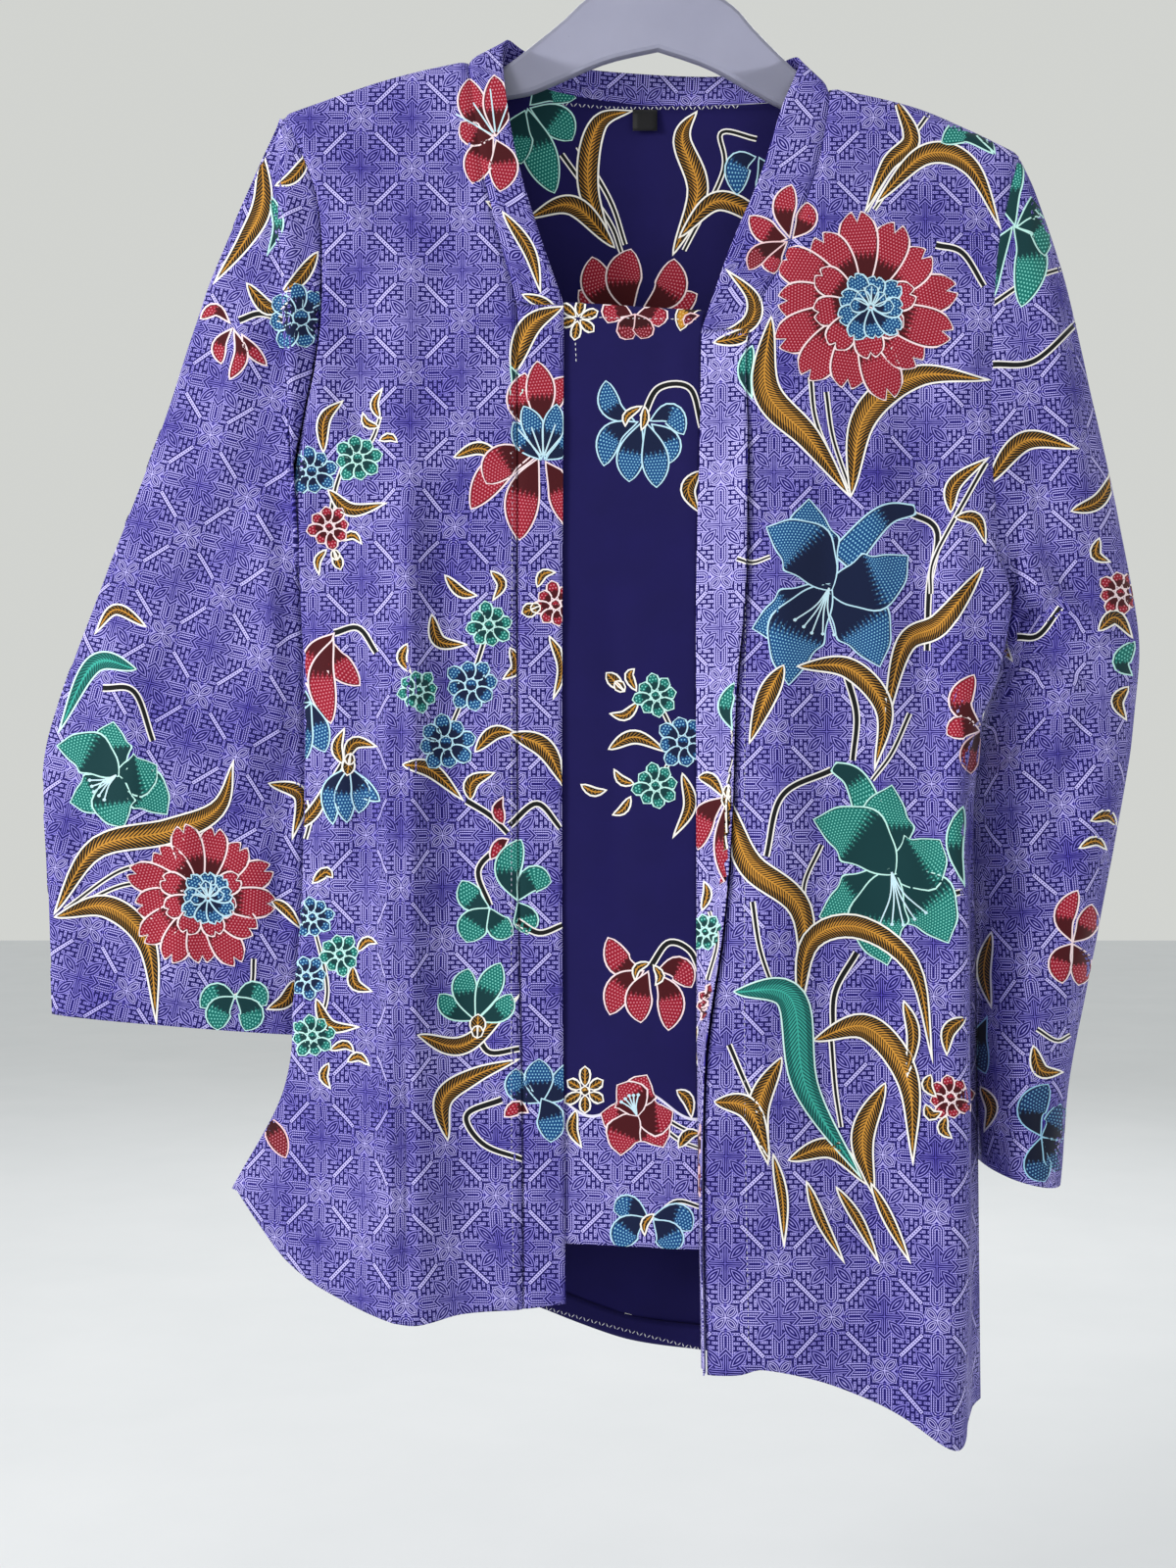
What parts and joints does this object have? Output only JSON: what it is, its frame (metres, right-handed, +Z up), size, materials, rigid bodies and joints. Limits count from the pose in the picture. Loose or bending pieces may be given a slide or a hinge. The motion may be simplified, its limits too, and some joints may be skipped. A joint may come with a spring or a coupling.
{
  "type": "kebaya blouse on a hanger",
  "caption": "Long-sleeved batik kebaya blouse with a contrast centre panel, hanging from a moulded plastic hanger.",
  "frame": {"origin": "inside top of the hook, where it bears on a rail", "axes": "+Z up, +X towards the viewer's right, -Y towards the viewer: the blouse's front faces -Y"},
  "size_m": [0.6204, 0.1405, 0.8737],
  "materials": {
    "batik_cloth": "printed cotton, soft and slightly creased",
    "violet_cloth": "plain dyed cotton",
    "black_label": "woven satin label",
    "hanger_plastic": "milky translucent moulded plastic"
  },
  "bodies": {
    "root": {"front_right": "batik_cloth", "front_left": "batik_cloth", "back": "batik_cloth", "sleeve_right": "batik_cloth", "sleeve_left": "batik_cloth", "collar": "batik_cloth", "band_right": "batik_cloth", "band_left": "batik_cloth", "centre_panel": "violet_cloth", "back_hem": "violet_cloth", "size_label": "black_label", "hanger": "hanger_plastic"}
  },
  "joints": []
}
